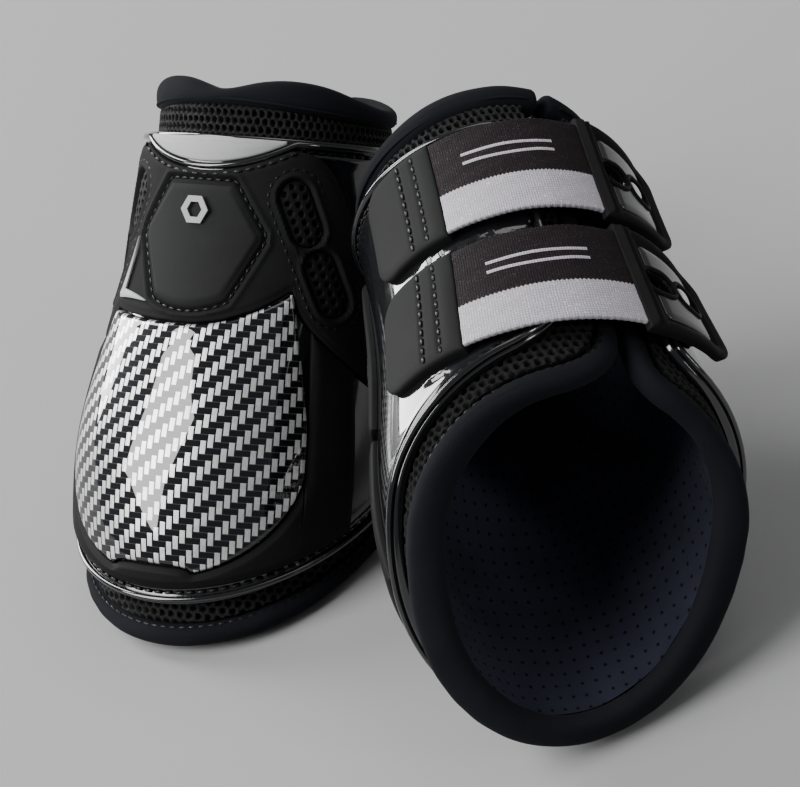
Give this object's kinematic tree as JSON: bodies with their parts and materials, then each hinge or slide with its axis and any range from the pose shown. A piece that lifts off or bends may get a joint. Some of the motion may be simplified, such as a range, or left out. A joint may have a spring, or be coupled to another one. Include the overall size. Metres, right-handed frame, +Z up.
{
  "type": "horse fetlock boots",
  "caption": "Pair of hard-shell horse fetlock boots with a cupped back, soft mesh lining and elastic stud straps, one standing and one lying.",
  "frame": {"origin": "bottom centre of the pair's box, on the surface that both boots rest on", "axes": "+Z up from that surface; -Y towards the viewer, who sees the standing boot's cup and the lying boot's closure; +X from the standing right boot to the lying left boot"},
  "size_m": [0.197, 0.2331, 0.1264],
  "materials": {
    "shell": "high gloss black moulded polymer",
    "shell_piping": "gloss black edge lip",
    "carbon_plate": "clear-coated twill weave of silver and blue-black yarns",
    "plate_bezel": "matt charcoal moulding",
    "flex_panel": "fine-grained matt charcoal flexible moulding",
    "badge_panel": "matt charcoal, grooved and stitched edge",
    "badge_emblem": "satin silver plain ring",
    "crescent_plate": "gloss pale silver",
    "vent_inserts": "matt black, perforated",
    "spacer_mesh": "black knitted spacer mesh with round cells",
    "impact_foam": "closed-cell foam",
    "lining": "navy-black perforated neoprene",
    "edge_binding": "soft black stretch binding",
    "top_collar": "soft black neoprene roll",
    "anchor": "matt dark rubber with stitch rows",
    "elastic": "two-tone knitted elastic, plum-black over silver",
    "end_tab": "dark moulded rubber with a raised rim",
    "tab_panel": "gloss dark grey inlay",
    "stud_strip": "black moulded strip",
    "studs": "polished steel",
    "stud_washers": "brushed steel"
  },
  "bodies": {
    "right_boot": {"right_shell": "shell", "right_shell_piping": "shell_piping", "right_carbon_plate": "carbon_plate", "right_plate_bezel": "plate_bezel", "right_flex_panel": "flex_panel", "right_badge_panel": "badge_panel", "right_badge_emblem": "badge_emblem", "right_crescent_plate": "crescent_plate", "right_vent_inserts": "vent_inserts", "right_spacer_mesh": "spacer_mesh", "right_impact_foam": "impact_foam", "right_lining": "lining", "right_edge_binding": "edge_binding", "right_top_collar": "top_collar", "right_upper_anchor": "anchor", "right_lower_anchor": "anchor", "right_stud_strip": "stud_strip", "right_studs": "studs", "right_stud_washers": "stud_washers"},
    "right_upper_strap": {"right_upper_elastic": "elastic"},
    "right_upper_tab": {"right_upper_end_tab": "end_tab", "right_upper_tab_panel": "tab_panel"},
    "right_lower_strap": {"right_lower_elastic": "elastic"},
    "right_lower_tab": {"right_lower_end_tab": "end_tab", "right_lower_tab_panel": "tab_panel"},
    "left_boot": {"left_shell": "shell", "left_shell_piping": "shell_piping", "left_carbon_plate": "carbon_plate", "left_plate_bezel": "plate_bezel", "left_flex_panel": "flex_panel", "left_badge_panel": "badge_panel", "left_badge_emblem": "badge_emblem", "left_crescent_plate": "crescent_plate", "left_vent_inserts": "vent_inserts", "left_spacer_mesh": "spacer_mesh", "left_impact_foam": "impact_foam", "left_lining": "lining", "left_edge_binding": "edge_binding", "left_top_collar": "top_collar", "left_upper_anchor": "anchor", "left_lower_anchor": "anchor", "left_stud_strip": "stud_strip", "left_studs": "studs", "left_stud_washers": "stud_washers"},
    "left_upper_strap": {"left_upper_elastic": "elastic"},
    "left_upper_tab": {"left_upper_end_tab": "end_tab", "left_upper_tab_panel": "tab_panel"},
    "left_lower_strap": {"left_lower_elastic": "elastic"},
    "left_lower_tab": {"left_lower_end_tab": "end_tab", "left_lower_tab_panel": "tab_panel"}
  },
  "joints": [
    {"name": "left_boot_apart", "type": "slide", "parent": "right_boot", "child": "left_boot", "axis": [0.8, -0.6, 0], "range_m": [0, 0.25]},
    {"name": "right_upper_strap_open", "type": "hinge", "parent": "right_boot", "child": "right_upper_strap", "pos_m": [-0.0279, 0.10396, 0.05477], "axis": [0.3335, 0.5337, 0.7771], "range_deg": [0, 100]},
    {"name": "right_upper_tab_unroll", "type": "hinge", "parent": "right_upper_strap", "child": "right_upper_tab", "pos_m": [0.01129, 0.08956, 0.04784], "axis": [0.3335, 0.5337, 0.7771], "range_deg": [0, 50]},
    {"name": "right_lower_strap_open", "type": "hinge", "parent": "right_boot", "child": "right_lower_strap", "pos_m": [-0.04371, 0.08489, 0.02446], "axis": [0.3335, 0.5337, 0.7771], "range_deg": [0, 100]},
    {"name": "right_lower_tab_unroll", "type": "hinge", "parent": "right_lower_strap", "child": "right_lower_tab", "pos_m": [-0.0005, 0.06799, 0.01753], "axis": [0.3335, 0.5337, 0.7771], "range_deg": [0, 50]},
    {"name": "left_upper_strap_open", "type": "hinge", "parent": "left_boot", "child": "left_upper_strap", "pos_m": [0.03398, -0.0143, 0.12051], "axis": [0.0168, -0.9611, -0.2756], "range_deg": [0, 100]},
    {"name": "left_upper_tab_unroll", "type": "hinge", "parent": "left_upper_strap", "child": "left_upper_tab", "pos_m": [0.07549, -0.01136, 0.11281], "axis": [0.0168, -0.9611, -0.2756], "range_deg": [0, 50]},
    {"name": "left_lower_strap_open", "type": "hinge", "parent": "left_boot", "child": "left_lower_strap", "pos_m": [0.03167, -0.05223, 0.11115], "axis": [0.0168, -0.9611, -0.2756], "range_deg": [0, 100]},
    {"name": "left_lower_tab_unroll", "type": "hinge", "parent": "left_lower_strap", "child": "left_lower_tab", "pos_m": [0.07743, -0.04865, 0.10145], "axis": [0.0168, -0.9611, -0.2756], "range_deg": [0, 50]}
  ],
  "couplings": [
    {"joint": "right_upper_tab_unroll", "follows": "right_upper_strap_open", "ratio": 0.5},
    {"joint": "right_lower_tab_unroll", "follows": "right_lower_strap_open", "ratio": 0.5},
    {"joint": "left_upper_tab_unroll", "follows": "left_upper_strap_open", "ratio": 0.5},
    {"joint": "left_lower_tab_unroll", "follows": "left_lower_strap_open", "ratio": 0.5}
  ]
}
